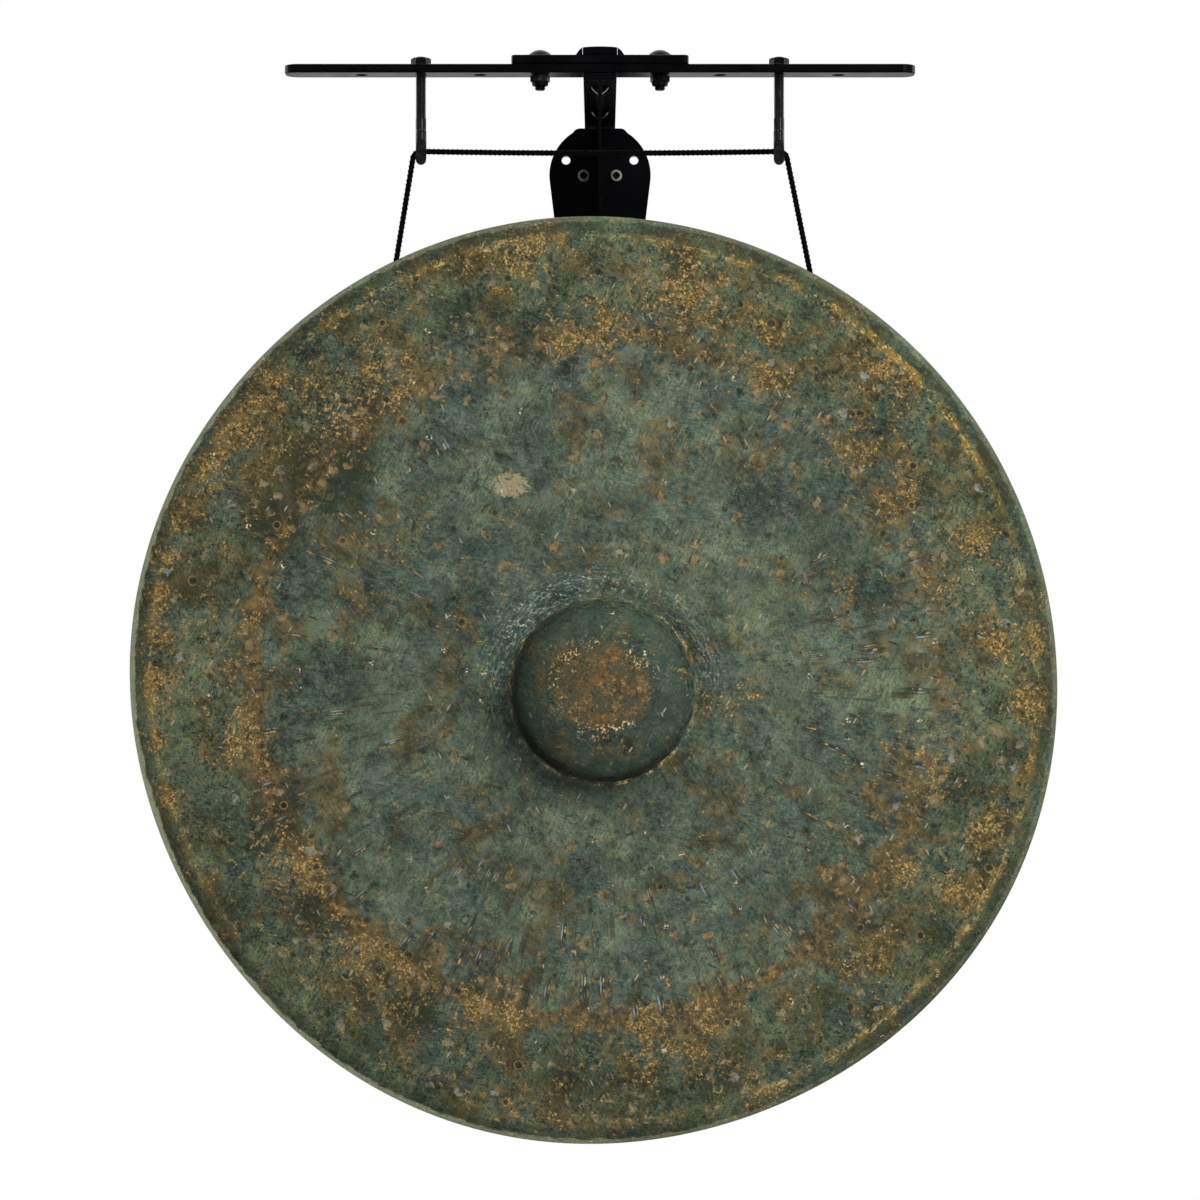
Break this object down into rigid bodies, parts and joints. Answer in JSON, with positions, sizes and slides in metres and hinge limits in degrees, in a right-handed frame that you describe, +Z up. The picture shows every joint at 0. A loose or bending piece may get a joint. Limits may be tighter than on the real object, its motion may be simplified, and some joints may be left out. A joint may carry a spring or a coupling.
{
  "type": "wall-mounted gong",
  "caption": "Large bossed bronze gong hung on a braided rope from the hooks of a black steel wall holder with a crossbar.",
  "frame": {"origin": "on the back face of the wall plate, at the centre of its round top", "axes": "+Y into the wall, +Z up, +X to the right as seen from the front"},
  "size_m": [0.6692, 0.3221, 0.7924],
  "materials": {
    "powder_coat": "satin black powder coat on steel",
    "black_steel": "rough black finish on steel bolts, nuts and hooks",
    "zinc": "bright zinc-plated steel screws",
    "nylon": "off-white nylon",
    "rope": "black braided polyester",
    "bronze": "hammered bronze with a dark green and ochre patina"
  },
  "bodies": {
    "holder": {"wall_plate": "powder_coat", "foot_plate": "powder_coat", "foot_screw_upper_left": "zinc", "foot_screw_upper_right": "zinc", "foot_screw_lower_left": "zinc", "foot_screw_lower_right": "zinc", "arm_strap": "powder_coat", "arm_web": "powder_coat", "arm_tack_weld_front_left": "powder_coat", "arm_tack_weld_front_right": "powder_coat", "arm_tack_weld_rear_left": "powder_coat", "arm_tack_weld_rear_right": "powder_coat", "crossbar": "powder_coat", "top_plate": "powder_coat", "centre_post": "powder_coat", "post_weld_left": "powder_coat", "post_weld_right": "powder_coat", "carriage_bolt_left": "black_steel", "carriage_bolt_right": "black_steel", "lock_nut_left": "black_steel", "lock_nut_right": "black_steel", "lock_ring_left": "nylon", "lock_ring_right": "nylon", "j_hook_left": "black_steel", "j_hook_right": "black_steel", "hook_nut_left": "black_steel", "hook_nut_right": "black_steel", "rope_span": "rope"},
    "hanging_gong": {"gong": "bronze", "rope_drop_left": "rope", "rope_drop_right": "rope", "rope_knot_left": "rope", "rope_knot_right": "rope"}
  },
  "joints": [
    {"name": "gong_swing", "type": "hinge", "parent": "holder", "child": "hanging_gong", "pos_m": [0, -0.26348, -0.0224], "axis": [1, 0, 0], "range_deg": [-30, 15]}
  ]
}
